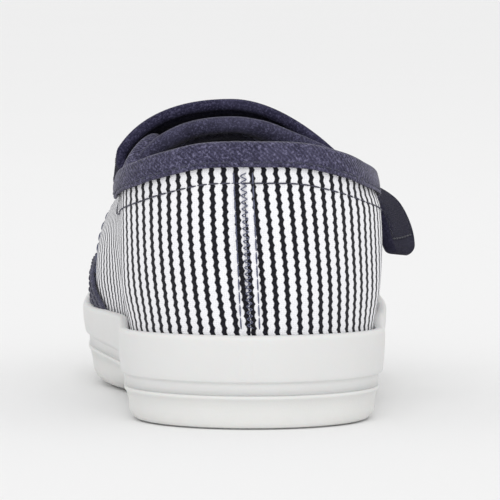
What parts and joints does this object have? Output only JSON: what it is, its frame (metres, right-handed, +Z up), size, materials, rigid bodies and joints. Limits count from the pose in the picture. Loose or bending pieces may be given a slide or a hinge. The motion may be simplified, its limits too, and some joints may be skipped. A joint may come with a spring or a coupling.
{
  "type": "canvas sneaker",
  "caption": "Small child's right low canvas sneaker with striped quarters, bound collar, padded tongue, touch-fastening instep strap and white rubber sole.",
  "frame": {"origin": "on the floor plane, under the middle of the shoe's bounding box", "axes": "+Y from heel to toe, +X to the outer side of the foot, +Z up from the floor"},
  "size_m": [0.0698, 0.16, 0.0609],
  "materials": {
    "sole_rubber": "white moulded rubber, satin",
    "foxing_rubber": "white rubber band, smooth satin",
    "canvas": "white plain-weave canvas with near-black ticking stripes",
    "navy_canvas": "navy canvas, fine weave",
    "tape": "navy twill tape",
    "lining": "dark plain cotton",
    "loop_pile": "dark loop pile",
    "hook_tape": "dark moulded hooks"
  },
  "bodies": {
    "root": {"outsole": "sole_rubber", "foxing": "foxing_rubber", "insole": "lining", "upper": "canvas", "toe_cap": "navy_canvas", "collar_binding": "tape", "tongue": "navy_canvas", "strap": "navy_canvas", "loop_patch": "loop_pile", "hook_patch": "hook_tape"}
  },
  "joints": []
}
